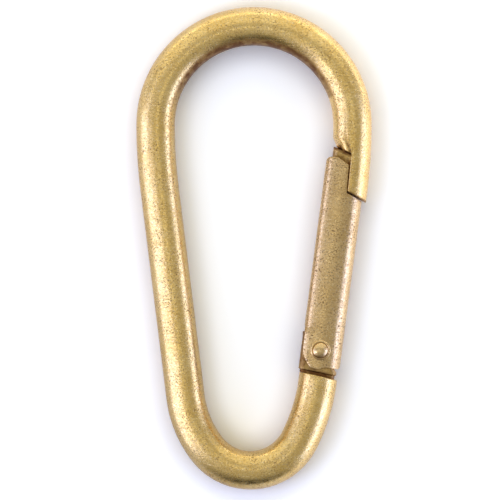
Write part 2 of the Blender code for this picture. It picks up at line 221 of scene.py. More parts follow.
def loop_stations():
    """The bar's centreline from the wide bend's gate side, round both bends, to the tail."""
    offset = Vector((EASING_RADIUS - TOP_BEND_RADIUS, 0.0))
    bottom, bottom_radius = narrow_bend()
    spine_end, tail_end = direction(270 - SPINE_SIDE_END), direction(270 + TAIL_SIDE_END)
    spine_side = bottom - (SPINE_SIDE_RADIUS - bottom_radius) * spine_end
    tail_side = bottom - (TAIL_SIDE_RADIUS - bottom_radius) * tail_end
    stations = arc(TOP_CENTRE, TOP_BEND_RADIUS, LOBE_BEND, 180, 80)
    stations += arc(TOP_CENTRE + offset, EASING_RADIUS, 180, 180 + SPINE_LEAN, 16)[1:]
    spine_start = spine_side + SPINE_SIDE_RADIUS * direction(180 + SPINE_LEAN)
    spine_top, out = stations[-1]
    stations += [(spine_top.lerp(spine_start, i / 50), out) for i in range(1, 50)]
    stations += arc(spine_side, SPINE_SIDE_RADIUS, 180 + SPINE_LEAN, 270 - SPINE_SIDE_END, 20)
    stations += arc(bottom, bottom_radius, 270 - SPINE_SIDE_END, 270 + TAIL_SIDE_END, 50)[1:]
    stations += arc(tail_side, TAIL_SIDE_RADIUS, TAIL_SIDE_END - 90, -GATE_LEAN, 18)[1:]
    return stations


def nose_station(drop):
    """Centreline of the nose, drop millimetres along Y below the wide bend's centre."""
    angle = -math.degrees(math.asin(drop / EASING_RADIUS))
    centre = TOP_CENTRE - Vector((EASING_RADIUS - TOP_BEND_RADIUS, 0.0))
    return centre + EASING_RADIUS * direction(angle), direction(angle)


def drop_at(along):
    """How far below the wide bend's centre the nose's centreline reaches u = along."""
    low, high = 0.0, 25.0
    for _ in range(40):
        middle = (low + high) / 2
        if to_gate(nose_station(middle)[0]).y > along:
            low = middle
        else:
            high = middle
    return low


def sheared(out, slope):
    """Ring direction that leans by slope degrees, still one unit long across the bar."""
    along = Vector((-out.y, out.x))
    return out + math.tan(math.radians(slope)) * along


def crossing(point, ray, line_start, line_end):
    """Distance along ray from point to a line given by two points."""
    run = line_end - line_start
    gap = line_start - point
    return (gap.x * run.y - gap.y * run.x) / (ray.x * run.y - ray.y * run.x)


def gate_line(start, end):
    """Two plan points from their (v, u) in the frame of the closed gate."""
    return [RIVET + v * GATE_ACROSS + u * GATE_ALONG for v, u in (start, end)]


# -------------------- sections of the bar

def spread(first, last, count, closed=True):
    """count even values from first to last, without the last one if not closed."""
    return np.linspace(first, last, count, endpoint=closed).tolist()


HALF_STEP = 0.5 * math.pi / HALF_RING
EVEN_ANGLES = [math.pi * (k + 0.5) / HALF_RING for k in range(HALF_RING)]
OUTER_POINTS, LAP_POINTS, EDGE_POINTS = 14, 9, 10
FLAT_POINTS = HALF_RING - OUTER_POINTS - LAP_POINTS - EDGE_POINTS
# Angles past the crease, in degrees, and the share of its depth there
CREASE_SHAPE = ((0.0, 0.0), (0.9, 0.35), (2.2, 0.95), (3.6, 1.0), (5.5, 0.82), (8.0, 0.55),
                (11.5, 0.3), (16.0, 0.12), (22.0, 0.0))


def round_section(angles=EVEN_ANGLES):
    """Upper half of the bar's section, outer side first, as (w, z) points."""
    return [(BAR_RADIUS * math.cos(a), BAR_RADIUS * math.sin(a)) for a in angles]


def lapped_section(lap, edge):
    """Nose: the outer half of the bar beyond the lap face, and the tongue inside it."""
    top = math.sqrt(BAR_RADIUS ** 2 - lap ** 2)
    end = math.acos((lap + LAP_ROUND) / BAR_RADIUS)
    points = round_section(spread(HALF_STEP, end, OUTER_POINTS, closed=False))
    for angle in spread(0.5 * math.pi, math.pi, LAP_POINTS - 4):
        points.append((lap + LAP_ROUND * (1 + math.cos(angle)),
                       top - LAP_ROUND * (1 - math.sin(angle))))
    points += [(lap, z) for z in spread(top - LAP_ROUND, TONGUE_HALF_DEPTH, 5)[1:]]
    points += [(w, TONGUE_HALF_DEPTH)
               for w in spread(lap - 0.15, edge + TONGUE_CORNER, FLAT_POINTS, closed=False)]
    return points + tongue_side(edge, 1, EDGE_POINTS)[::-1]


def tongue_side(edge, inwards, count):
    """Rounded edge of a tongue, from its side up to its flat, as (w, z) points."""
    points = []
    for angle in spread(0.0, 0.5 * math.pi, count):
        points.append((edge + inwards * TONGUE_CORNER * (1 - math.cos(angle)),
                       TONGUE_HALF_DEPTH - TONGUE_CORNER * (1 - math.sin(angle))))
    return points


def lobe_section(crease, rise, end_inset):
    """Round section whose inner half draws in. rise is the distance above the shoulder."""
    crease_angle = math.acos(crease / BAR_RADIUS)
    angles = spread(HALF_STEP, crease_angle - 0.02, OUTER_POINTS)
    angles += [crease_angle + math.radians(turn) for turn, _ in CREASE_SHAPE]
    inner = EDGE_POINTS + FLAT_POINTS
    angles += spread(angles[-1], math.pi - HALF_STEP, inner + 1)[1:]
    evenness = smooth_step((rise - CREASE_LENGTH) / 6.0)
    angles = [a + evenness * (b - a) for a, b in zip(angles, EVEN_ANGLES)]
    groove = CREASE_DEPTH * (1 - smooth_step(rise / CREASE_LENGTH))
    shares = [0.0] * OUTER_POINTS + [share for _, share in CREASE_SHAPE] + [0.0] * inner
    narrowing = LOBE_NARROWING * (1 - smooth_step(rise / LOBE_LENGTH))
    slant = LOBE_SLANT * (1 - smooth_step(rise / (1.4 * LOBE_LENGTH)))
    points = []
    for k, (angle, share) in enumerate(zip(angles, shares)):
        past = smooth_step((angle - crease_angle) / (0.5 * math.pi))
        inset = share * groove + (end_inset if k > OUTER_POINTS else 0.0)
        inset += slant * past * math.sin(angle)
        w = (BAR_RADIUS - inset) * math.cos(angle)
        points.append((w * (1 - narrowing * past), (BAR_RADIUS - inset) * math.sin(angle)))
    return points


def tail_section(inner_edge, outer_edge):
    """Tail tongue: a flat bar with rounded edges."""
    outer = tongue_side(outer_edge, -1, LAP_POINTS + 3)
    inner = tongue_side(inner_edge, 1, LAP_POINTS + 3)
    flat = spread(outer[-1][0], inner[-1][0], HALF_RING - 2 * len(outer) + 2)[1:-1]
    return outer + [(w, TONGUE_HALF_DEPTH) for w in flat] + inner[::-1]


def shrunk(section, inset):
    """Section moved inwards by inset, along its own normals."""
    full = np.array(section + [(w, -z) for w, z in reversed(section)])
    run = np.roll(full, -1, axis=0) - np.roll(full, 1, axis=0)
    normal = np.stack([run[:, 1], -run[:, 0]], axis=1)
    normal /= np.linalg.norm(normal, axis=1, keepdims=True)
    return [tuple(point) for point in (full - inset * normal)[:len(section)].tolist()]


def ring(point, across, section):
    """Closed ring of world points from the upper half of a section."""
    full = section + [(w, -z) for w, z in reversed(section)]
    return [(*(point + w * across), z + BAR_RADIUS) for w, z in full]


def slanted(loop, out, slant):
    """Ring leaned along the bar: its top moved back by slant, its bottom on by as much."""
    moved = []
    for x, y, z in loop:
        shift = slant * (z / BAR_RADIUS - 1)
        moved.append((x - shift * out.y, y + shift * out.x, z))
    return moved


# -------------------- the bar's rings

def edge_rounding(radius, steps=5):
    """(distance from the end, inset) pairs of a rounded end, end first."""
    pairs = []
    for i in range(steps + 1):
        angle = 0.5 * math.pi * i / steps
        pairs.append((radius * (1 - math.cos(angle)), radius * (1 - math.sin(angle))))
    return pairs


def nose_rings():
    """Rings, each with its patina and painted shade, from the nose's end up to the wide bend."""
    lap_line = gate_line(LAP_FOOT, LAP_HEAD)
    edge_line = gate_line((NOSE_TONGUE_EDGE, 30.0), (NOSE_TONGUE_EDGE, 45.0))
    shoulder, foot = drop_at(NOSE_SHOULDER), drop_at(LAP_FOOT[1])
    made = []

    def lapped(drop, inset=0.0, patina_and_shade=0.22, end=0.0):
        point, out = nose_station(drop)
        across = sheared(out, -NOSE_SLOPE)
        lap, edge = crossing(point, across, *lap_line), crossing(point, across, *edge_line)
        section = lapped_section(lap, edge)
        if inset:
            section = shrunk(section, inset)
        stain_and_shade = [end] * OUTER_POINTS + [0.2] * 4 + [patina_and_shade] * (HALF_RING - OUTER_POINTS - 4)
        slant = END_SLANT * smooth_step((drop - foot + 4.0) / 4.0)
        made.append((slanted(ring(point, across, section), out, slant), stain_and_shade))

    # painted shade on the nose's sawn end face, in the gap beside the gate
    for distance, inset in edge_rounding(LAP_ROUND):
        lapped(foot - distance, inset, end=0.85)
    for drop in spread(foot - LAP_ROUND, shoulder + 0.28, 24)[1:]:
        # painted shade on the tongue under the lobe's end and towards the gate's edge, over
        # light patina
        below = drop - shoulder
        under_lobe = 0.95 * smooth_step(1.6 - below / 0.7)
        beside_gate = 0.25 + 0.65 * smooth_step(below - 0.8)
        lapped(drop, patina_and_shade=max(under_lobe, beside_gate))

    rises = edge_rounding(LOBE_ROUND, 7)
    bend_run = TOP_BEND_RADIUS * math.radians(LOBE_BEND)
    rises += [(rise, 0.0) for rise in spread(LOBE_ROUND, shoulder + bend_run, 50)[1:-1]]
    point, out = nose_station(shoulder)
    lap_head = crossing(point, sheared(out, -NOSE_SLOPE), *lap_line)
    for rise, inset in rises:
        if rise < shoulder:
            point, out = nose_station(shoulder - rise)
        else:
            out = direction(math.degrees((rise - shoulder) / TOP_BEND_RADIUS))
            point = TOP_CENTRE + TOP_BEND_RADIUS * out
        lean = 1 - smooth_step(rise / shoulder)
        crease = lap_head + (-1.0 - lap_head) * smooth_step(rise / 3.0)
        section = lobe_section(crease, rise, inset)
        # painted shade on the lobe's end face at the shoulder; darker along the crease as well
        dark = 0.9 * (1 - smooth_step(rise / 0.3))
        seam = 0.7 * (1 - smooth_step(rise / CREASE_LENGTH))
        stain_and_shade = [0.0] * OUTER_POINTS + [max(dark, seam * share) for _, share in CREASE_SHAPE]
        stain_and_shade += [dark] * (HALF_RING - len(stain_and_shade))
        made.append((ring(point, sheared(out, -NOSE_SLOPE * lean), section), stain_and_shade))
    return made


def cam_point(swing):
    """Point of the tail's end that the plunger touches at a swing in degrees, as (v, u)."""
    angle = math.radians(swing)
    reach = TAIL_END + CAM_RATE * angle
    u = reach * math.cos(angle) - CAM_RATE * math.sin(angle)
    v = -reach * math.sin(angle) - CAM_RATE * math.cos(angle)
    return v, u


def tail_outer_edge(along):
    """Outer edge of the tail tongue: round about the rivet, then a flat stop face."""
    stop = math.radians(90 - GATE_OPENS)
    if along <= 0:
        blend = smooth_step((along - GATE_FOOT) / 0.5)
        return TAIL_COLLAR + (TAIL_OUTER_EDGE - TAIL_COLLAR) * blend
    if along <= TAIL_OUTER_EDGE * math.cos(stop):
        return math.sqrt(TAIL_OUTER_EDGE ** 2 - along ** 2)
    return (TAIL_OUTER_EDGE - along * math.cos(stop)) / math.sin(stop)


def tail_rings():
    """Rings, each with its patina and painted shade, from the tail's shoulder to the end of its
    tongue.
    """
    start = RIVET + TAIL_SHOULDER * GATE_ALONG
    across = sheared(GATE_ACROSS, -TAIL_SHOULDER_SLOPE)
    made = []
    for distance, inset in reversed(edge_rounding(TAIL_ROUND)):
        section = shrunk(round_section(), inset)
        # painted shade on the shoulder's face, in the recess below the gate's foot
        stain_and_shade = 0.9 * (inset / TAIL_ROUND) ** 3
        made.append((ring(start - distance * GATE_ALONG, across, section), [stain_and_shade] * HALF_RING))
    for rise, lean, inset, stain_and_shade in TAIL_NECK:
        across = sheared(GATE_ACROSS, -TAIL_SHOULDER_SLOPE * lean)
        section = shrunk(tail_section(TAIL_INNER_EDGE, TAIL_COLLAR), inset)
        made.append((ring(start + rise * GATE_ALONG, across, section), [stain_and_shade] * HALF_RING))
    edges = [(u, TAIL_INNER_EDGE) for u in spread(TAIL_SHOULDER + 1.7, 2.4, 26)]
    edges += [(u, v) for v, u in (cam_point(swing) for swing in spread(34.0, 0.0, 12))]
    inner_side = LAP_POINTS + 3
    for along, inner in edges:
        point = RIVET + along * GATE_ALONG
        section = tail_section(inner, tail_outer_edge(along))
        # patina on the tongue, and painted shade along its inner edge
        shaded = 0.62 + 0.3 * smooth_step((along + 4.2) / 1.2)
        stain_and_shade = [0.6] * (HALF_RING - inner_side) + [shaded] * inner_side
        made.append((ring(point, GATE_ACROSS, section), stain_and_shade))
    return made


# -------------------- mesh helpers

def make_object(name, points, faces, finish, stain_and_shade=None, sharp=40.0):
    """Mesh object from points in millimetres, with patina and painted shade as a vertex
    attribute.
    """
    mesh = bpy.data.meshes.new(name)
    mesh.from_pydata((np.array(points) * MM).tolist(), [], faces)
    if stain_and_shade is not None:
        patina_and_shade = mesh.attributes.new("patina_and_shade", "FLOAT", "POINT")
        patina_and_shade.data.foreach_set("value", np.array(stain_and_shade, dtype=np.float32))
    tidy = bmesh.new()
    tidy.from_mesh(mesh)
    bmesh.ops.recalc_face_normals(tidy, faces=tidy.faces)
    tidy.to_mesh(mesh)
    tidy.free()
    mesh.shade_smooth()
    mesh.set_sharp_from_angle(angle=math.radians(sharp))
    mesh.materials.append(finish)
    made = bpy.data.objects.new(name, mesh)
    bpy.context.scene.collection.objects.link(made)
    return made


def loft(rings):
    """Points and faces of a skin over equal rings, closed at both ends."""
    count = len(rings[0])
    points = [point for loop in rings for point in loop]
    faces = []
    for first in range(0, len(points) - count, count):
        for k in range(count):
            other = (k + 1) % count
            faces.append((first + k, first + other, first + count + other, first + count + k))
    faces.append(tuple(range(count)))
    faces.append(tuple(range(len(points) - count, len(points))))
    return points, faces


def turned(profile, sides, place):
    """Points and faces of a solid of revolution from (radius, z) points, axis to axis."""
    points = [place(0.0, 0.0, profile[0][1])]
    for radius, z in profile[1:-1]:
        for k in range(sides):
            angle = 2 * math.pi * k / sides
            points.append(place(radius * math.cos(angle), radius * math.sin(angle), z))
    points.append(place(0.0, 0.0, profile[-1][1]))
    faces = [(0, 1 + k, 1 + (k + 1) % sides) for k in range(sides)]
    for first in range(1, len(points) - 1 - sides, sides):
        for k in range(sides):
            other = (k + 1) % sides
            faces.append((first + k, first + sides + k, first + sides + other, first + other))
    last, end = len(points) - 1 - sides, len(points) - 1
    faces += [(last + k, end, last + (k + 1) % sides) for k in range(sides)]
    return points, faces


def bored(piece, centre, radius, sides=64):
    """Cut an upright round hole and keep the result as the piece's mesh."""
    rings = [[(centre[0] + radius * math.cos(2 * math.pi * k / sides),
               centre[1] + radius * math.sin(2 * math.pi * k / sides), z) for k in range(sides)]
             for z in (-2.0, 2 * BAR_RADIUS + 2.0)]
    cutter = make_object("bore", *loft(rings), piece.data.materials[0])
    step = piece.modifiers.new("bore", "BOOLEAN")
    step.object = cutter
    step.solver = "EXACT"
    graph = bpy.context.evaluated_depsgraph_get()
    mesh = bpy.data.meshes.new_from_object(piece.evaluated_get(graph))
    piece.modifiers.clear()
    piece.data = mesh
    bpy.data.objects.remove(cutter, do_unlink=True)
    mesh.set_sharp_from_angle(angle=math.radians(40.0))


# -------------------- materials

def add_node(tree, kind, inputs=(), **settings):
    """Node with its settings and inputs, each input a value or the socket that feeds it."""
    node = tree.nodes.new(kind)
    for key, value in settings.items():
        setattr(node, key, value)
    for key, value in dict(inputs).items():
        if isinstance(value, bpy.types.NodeSocket):
            tree.links.new(value, node.inputs[key])
        else:
            node.inputs[key].default_value = value
    return node


def ramp(tree, value, low, high, to_low, to_high, **settings):
    """Output of a map from low..high to to_low..to_high."""
    node = add_node(tree, "ShaderNodeMapRange",
                    {"Value": value, "From Min": low, "From Max": high, "To Min": to_low,
                     "To Max": to_high}, **settings)
    return node.outputs["Result"]


def mixed(tree, share, first, second):
    """Colour mix. The node has float sockets of the same names, so inputs go by number."""
    return add_node(tree, "ShaderNodeMix", {0: share, 6: first, 7: second},
                    data_type="RGBA").outputs[2]


class Shader:
    """Small helper that adds and links nodes of one material."""

    def __init__(self, name):
        self.material = bpy.data.materials.new(name)
        self.material.use_nodes = True
        self.tree = self.material.node_tree
        self.surface = self.tree.nodes["Principled BSDF"]
        self.place = self.add("ShaderNodeTexCoord").outputs["Object"]

    def add(self, kind, inputs=(), **settings):
        return add_node(self.tree, kind, inputs, **settings)

    def noise(self, scale, detail=2.0, roughness=0.5, stretch=None, turn=0.0):
        place = self.place
        if stretch:
            place = self.add("ShaderNodeMapping", {"Vector": place, "Scale": stretch,
                                                   "Rotation": (0, 0, math.radians(turn))})
            place = place.outputs["Vector"]
        node = self.add("ShaderNodeTexNoise", {"Vector": place, "Scale": scale,
                                               "Detail": detail, "Roughness": roughness})
        return node.outputs["Fac"]

    def remap(self, value, low, high, to_low=0.0, to_high=1.0):
        return ramp(self.tree, value, low, high, to_low, to_high)

    def maths(self, operation, first, second):
        return self.add("ShaderNodeMath", {0: first, 1: second},
                        operation=operation).outputs["Value"]

    def blend(self, share, first, second):
        return mixed(self.tree, share, first, second)

    def connect(self, socket, value):
        self.tree.links.new(value, self.surface.inputs[socket])


RUBBED_BRASS = (1.0, 0.84, 0.50, 1.0)   # the brightest grains
# Scales of the noises, per metre
PATCH_SCALE, CLOUD_SCALE, RUBBED_SCALE = 170.0, 620.0, 260.0
GRAIN_SCALE, SPECK_SCALE, SPARK_SCALE = 2400.0, 2900.0, 3300.0
# Three sets of hair scratches: (direction in degrees, stretch)
SCRATCHES = ((18.0, (160.0, 5200.0, 900.0)), (-64.0, (140.0, 4300.0, 900.0)),
             (83.0, (200.0, 6100.0, 900.0)))
GRAIN_RELIEF = 0.00008          # metres


def brass(name, pale, warm, deep, stain_and_shade, satin, pitting, scratching):
    """Tumbled brass: patches of tone, speckled grain, scratches, and patina with painted shade
    in recesses and on shaded faces.
    """
    shader = Shader(name)
    patches = shader.remap(shader.noise(PATCH_SCALE, 3.0, 0.6), 0.35, 0.65)
    clouds = shader.remap(shader.noise(CLOUD_SCALE, 2.0, 0.6), 0.38, 0.66)
    grain = shader.noise(GRAIN_SCALE, 3.0, 0.65)
    specks = shader.remap(shader.noise(SPECK_SCALE, 2.0, 0.6), 0.53, 0.66)
    sparks = shader.remap(shader.noise(SPARK_SCALE, 1.0, 0.5), 0.56, 0.68)
    rubbed = shader.remap(shader.noise(RUBBED_SCALE, 2.0, 0.5), 0.38, 0.58, 0.25, 1.0)
    pits = shader.maths("MULTIPLY", specks, rubbed)
    lines = []
    for turn, stretch in SCRATCHES:
        hair = shader.noise(1.0, 1.0, 0.5, stretch=stretch, turn=turn)
        lines.append(shader.remap(hair, 0.66, 0.72))
    scratches = shader.maths("MAXIMUM", lines[0], shader.maths("MAXIMUM", lines[1], lines[2]))
    patina_and_shade = shader.add("ShaderNodeAttribute", attribute_name="patina_and_shade").outputs["Fac"]
    ragged = shader.maths("MULTIPLY", patina_and_shade, shader.remap(clouds, 0.0, 1.0, 0.75, 1.15))

    colour = shader.blend(patches, (*pale, 1.0), (*warm, 1.0))
    colour = shader.blend(shader.remap(grain, 0.42, 0.68, 0.0, 0.5), colour, (*deep, 1.0))
    colour = shader.blend(shader.maths("MULTIPLY", sparks, 0.4), colour, RUBBED_BRASS)
    colour = shader.blend(shader.maths("MULTIPLY", pits, pitting), colour, (*stain_and_shade, 1.0))
    # darkened by the vertex attribute: real patina, and painted shade where faces lie in shade
    colour = shader.blend(ragged, colour, (*stain_and_shade, 1.0))
    shader.connect("Base Color", colour)

    gloss = shader.remap(grain, 0.35, 0.7, satin - 0.04, satin + 0.08)
    gloss = shader.maths("ADD", gloss, shader.remap(clouds, 0.0, 1.0, -0.03, 0.05))
    gloss = shader.maths("ADD", gloss, shader.maths("MULTIPLY", pits, 0.18))
    gloss = shader.maths("ADD", gloss, shader.maths("MULTIPLY", patina_and_shade, 0.16))
    shader.connect("Roughness", gloss)
    shader.surface.inputs["Metallic"].default_value = 1.0

    height = shader.maths("MULTIPLY", grain, 0.35)
    height = shader.maths("SUBTRACT", height, shader.maths("MULTIPLY", pits, 0.35))
    height = shader.maths("SUBTRACT", height, shader.maths("MULTIPLY", scratches, scratching))
    bump = shader.add("ShaderNodeBump", {"Height": height, "Strength": 0.6,
                                         "Distance": GRAIN_RELIEF})
    shader.connect("Normal", bump.outputs["Normal"])
    return shader.material


def spring_wire(name):
    """Drawn steel wire with die lines along it."""
    shader = Shader(name)
    drawn = shader.noise(1.0, 2.0, 0.6, stretch=(3000.0, 700.0, 3000.0))
    film = shader.noise(500.0, 2.0, 0.5)
    colour = shader.blend(shader.remap(film, 0.4, 0.7), (0.50, 0.50, 0.50, 1.0),
                          (0.34, 0.30, 0.25, 1.0))
    shader.connect("Base Color", colour)
    shader.connect("Roughness", shader.remap(drawn, 0.3, 0.7, 0.26, 0.42))
    shader.surface.inputs["Metallic"].default_value = 1.0
    bump = shader.add("ShaderNodeBump", {"Height": drawn, "Strength": 0.3, "Distance": 0.00002})
    shader.connect("Normal", bump.outputs["Normal"])
    return shader.material


# -------------------- the bar

def make_body(finish):
    stations = []
    for point, out in loop_stations():
        # patina and painted shade on the inner side of the wide bend, growing towards its top
        tarnish_and_shade = smooth_step(TARNISH_AND_SHADE_RISE * out.y)
        stain_and_shade = [tarnish_and_shade * smooth_step((-math.cos(a) - TARNISH_AND_SHADE_STARTS) / TARNISH_AND_SHADE_FADE)
                 for a in EVEN_ANGLES]
        stations.append((ring(point, out, round_section()), stain_and_shade))
    while to_gate(Vector(stations[-1][0][0][:2])).y > TAIL_SHOULDER - BAR_STOPS:
        stations.pop()
    rings = nose_rings() + stations + tail_rings()
    stain_and_shade = [value for _, half in rings for value in half + half[::-1]]
    body = make_object("hook_body", *loft([loop for loop, _ in rings]), finish, stain_and_shade)
    bored(body, RIVET_AT, RIVET_HOLE)
    return body


# -------------------- the gate's flat pattern

INNER_CORNER, OUTER_CORNER = GATE_CORNERS
INNER_V, OUTER_V = INNER_CORNER - GATE_HALF_WIDTH, GATE_HALF_WIDTH - OUTER_CORNER
INNER_TURN = math.asin((CROWN_V - INNER_V) / (GATE_CROWN - INNER_CORNER))
OUTER_TURN = math.asin((OUTER_V - CROWN_V) / (GATE_CROWN - OUTER_CORNER))
CROWN_Z = GATE_HALF_DEPTH - GATE_CROWN
INNER_Z = CROWN_Z + (GATE_CROWN - INNER_CORNER) * math.cos(INNER_TURN)
OUTER_Z = CROWN_Z + (GATE_CROWN - OUTER_CORNER) * math.cos(OUTER_TURN)
CORNER_RUNS = ((0.5 * math.pi - INNER_TURN) * INNER_CORNER,
               (0.5 * math.pi - OUTER_TURN) * OUTER_CORNER)
CROWN_RUN = (INNER_TURN + OUTER_TURN) * GATE_CROWN
# Distances round the fold where its faces and corners start, from the middle of the inner side
FOLD_AT = [0.0]
for face_run in (INNER_Z, CORNER_RUNS[0], CROWN_RUN, CORNER_RUNS[1], 2 * OUTER_Z,
                 CORNER_RUNS[1], CROWN_RUN, CORNER_RUNS[0], INNER_Z):
    FOLD_AT.append(FOLD_AT[-1] + face_run)
PATTERN_WIDTH = FOLD_AT[-1]
CROWN_AT = FOLD_AT[2] + INNER_TURN * GATE_CROWN


def folded(p, u, depth):
    """World point of a pattern point, depth millimetres below the sheet's outer face."""
    mirrored = p > PATTERN_WIDTH / 2
    if mirrored:
        p = PATTERN_WIDTH - p
    if p <= FOLD_AT[1]:
        v, z = depth - GATE_HALF_WIDTH, p
    elif p <= FOLD_AT[2]:
        turn, radius = (p - FOLD_AT[1]) / INNER_CORNER, INNER_CORNER - depth
        v, z = INNER_V - radius * math.cos(turn), INNER_Z + radius * math.sin(turn)
    elif p <= FOLD_AT[3]:
        turn, radius = (p - CROWN_AT) / GATE_CROWN, GATE_CROWN - depth
        v, z = CROWN_V + radius * math.sin(turn), CROWN_Z + radius * math.cos(turn)
    elif p <= FOLD_AT[4]:
        turn = (p - FOLD_AT[3]) / OUTER_CORNER + OUTER_TURN
        radius = OUTER_CORNER - depth
        v, z = OUTER_V + radius * math.sin(turn), OUTER_Z + radius * math.cos(turn)
    else:
        v, z = GATE_HALF_WIDTH - depth, OUTER_Z - (p - FOLD_AT[4])
    pressed = smooth_step((WEB_STARTS - u) / 1.5) * smooth_step((0.5 - v) / 2)
    z += EAR_PRESSED * pressed * (GATE_HALF_DEPTH - z)
    return from_gate(v, u, -z if mirrored else z)


def pattern_place(v):
    """Distance round the upper half of the fold at v across the gate."""
    if v < CROWN_V - GATE_CROWN * math.sin(INNER_TURN):
        return FOLD_AT[1] + INNER_CORNER * math.acos(min(1.0, (INNER_V - v) / INNER_CORNER))
    if v <= CROWN_V + GATE_CROWN * math.sin(OUTER_TURN):
        return CROWN_AT + GATE_CROWN * math.asin((v - CROWN_V) / GATE_CROWN)
    turn = math.asin(min(1.0, (v - OUTER_V) / OUTER_CORNER))
    return FOLD_AT[3] + OUTER_CORNER * (turn - OUTER_TURN)


def filleted(corners, steps=6):
    """Polyline of (x, y, radius) corners with each one rounded to its radius."""
    points = [Vector(corners[0][:2])]
    for before, here, after in zip(corners, corners[1:], corners[2:]):
        corner = Vector(here[:2])
        back, ahead = (Vector(before[:2]) - corner), (Vector(after[:2]) - corner)
        half = back.angle(ahead) / 2
        reach = min(here[2] / math.tan(half), 0.49 * back.length, 0.49 * ahead.length)
        start, end = corner + reach * back.normalized(), corner + reach * ahead.normalized()
        for i in range(steps + 1):
            t = i / steps
            points.append(start * (1 - t) ** 2 + corner * 2 * t * (1 - t) + end * t ** 2)
    points.append(Vector(corners[-1][:2]))
    return points


def densified(points, spacing):
    """Points at most spacing apart along a polyline."""
    made = [points[0]]
    for first, second in zip(points, points[1:]):
        count = max(1, math.ceil((second - first).length / spacing))
        made += [first.lerp(second, i / count) for i in range(1, count + 1)]
    kept = [point for point, after in zip(made, made[1:]) if (after - point).length > 1e-4]
    return kept + [made[-1]]


def gate_outline():
    """Closed outline of the flat pattern as (p, u, rim radius), anticlockwise."""
    slope = math.radians(NOSE_SLOPE)
    lap_foot = (LAP_FOOT[0] - LAP_GAP, LAP_FOOT[1] - LAP_GAP / math.cos(slope))
    side_top = lap_foot[1] - math.tan(slope) * (GATE_HALF_WIDTH - lap_foot[0])
    nose = [(-GATE_HALF_WIDTH, GATE_TOP - 2.2, 0), (-GATE_HALF_WIDTH, GATE_TOP, 1.9),
            (-1.75, GATE_TOP, 0.9), (0.62, 38.75, 0.4), (*lap_foot, 0.2),
            (GATE_HALF_WIDTH, side_top, 0)]
    foot = [(EAR_EDGE, WEB_STARTS, 0), (EAR_EDGE, -1.4, 4.6), (-1.9, -4.05, 2.1),
            (-0.1, -4.05, 0.8), (0.9, -3.5, 0.8), (GATE_HALF_WIDTH, -3.5, 1.2),
            (GATE_HALF_WIDTH, -2.3, 0)]

    def in_pattern(corners):
        plan = densified(filleted(corners), 0.12)
        return [Vector((pattern_place(point.x), point.y)) for point in plan]

    def mirror(points):
        return [Vector((PATTERN_WIDTH - point.x, point.y)) for point in reversed(points)]

    nose_half, foot_half = in_pattern(nose), in_pattern(foot)
    ear_p = foot_half[0].x
    web_low = [Vector((0.0, WEB_STARTS)), Vector((ear_p - 0.35, WEB_STARTS)),
               Vector((ear_p - 0.1, WEB_STARTS - 0.1)), Vector((ear_p, WEB_STARTS - 0.35))]
    foot_half = [point for point in foot_half if point.y < WEB_STARTS - 0.4]
    low = web_low + foot_half
    low += mirror(low)
    high = [Vector((0.0, GATE_TOP - 2.2))] + nose_half
    high += mirror(high)
    loop = densified(low + high[::-1] + [low[0]], 0.3)[:-1]
    made = []
    for point in loop:
        side = min(point.x, PATTERN_WIDTH - point.x)
        on_ear = point.y < WEB_STARTS - 1.0 and side < CROWN_AT
        leaning = smooth_step((side - CROWN_AT - 1.6) / 0.9) * smooth_step(point.y - 25.0)
        height = folded(point.x, point.y, 0.0)[2] / BAR_RADIUS - 1
        made.append((point.x, point.y + END_SLANT * leaning * height,
                     RIM_EAR if on_ear else RIM_FINE))
    return made


def rim_normals(loop):
    """Inward normals of a closed anticlockwise loop."""
    run = np.roll(loop, -1, axis=0) - np.roll(loop, 1, axis=0)
    run /= np.linalg.norm(run, axis=1, keepdims=True)
    return np.stack([-run[:, 1], run[:, 0]], axis=1)


def inside(points, loop):
    """Whether each point is inside a closed loop."""
    x, y = points[:, 0, None], points[:, 1, None]
    x1, y1 = loop[:, 0], loop[:, 1]
    x2, y2 = np.roll(x1, -1), np.roll(y1, -1)
    with np.errstate(divide="ignore", invalid="ignore"):
        crosses = ((y1 > y) != (y2 > y)) & (x < (x2 - x1) * (y - y1) / (y2 - y1) + x1)
    return crosses.sum(axis=1) % 2 == 1


def clear_of(points, loops, gap):
    """Whether each point is at least gap from every point of the loops."""
    free = np.ones(len(points), dtype=bool)
    for loop in loops:
        for start in range(0, len(points), 1000):
            part = points[start:start + 1000]
            nearest = np.linalg.norm(part[:, None] - loop[None], axis=2).min(axis=1)
            free[start:start + 1000] &= nearest > gap
    return free


def pattern_grid():
    """Points inside the pattern, closer together round the corners."""
    columns = []
    for start, end in zip(FOLD_AT, FOLD_AT[1:]):
        bent = any(abs(end - start - run) < 1e-6 for run in CORNER_RUNS)
        columns += spread(start, end, math.ceil((end - start) / (0.25 if bent else 0.5)) + 1,
                          closed=False)
    rows = spread(GATE_FOOT, GATE_TOP, 76)
    return np.array([(p, u) for u in rows for p in columns])


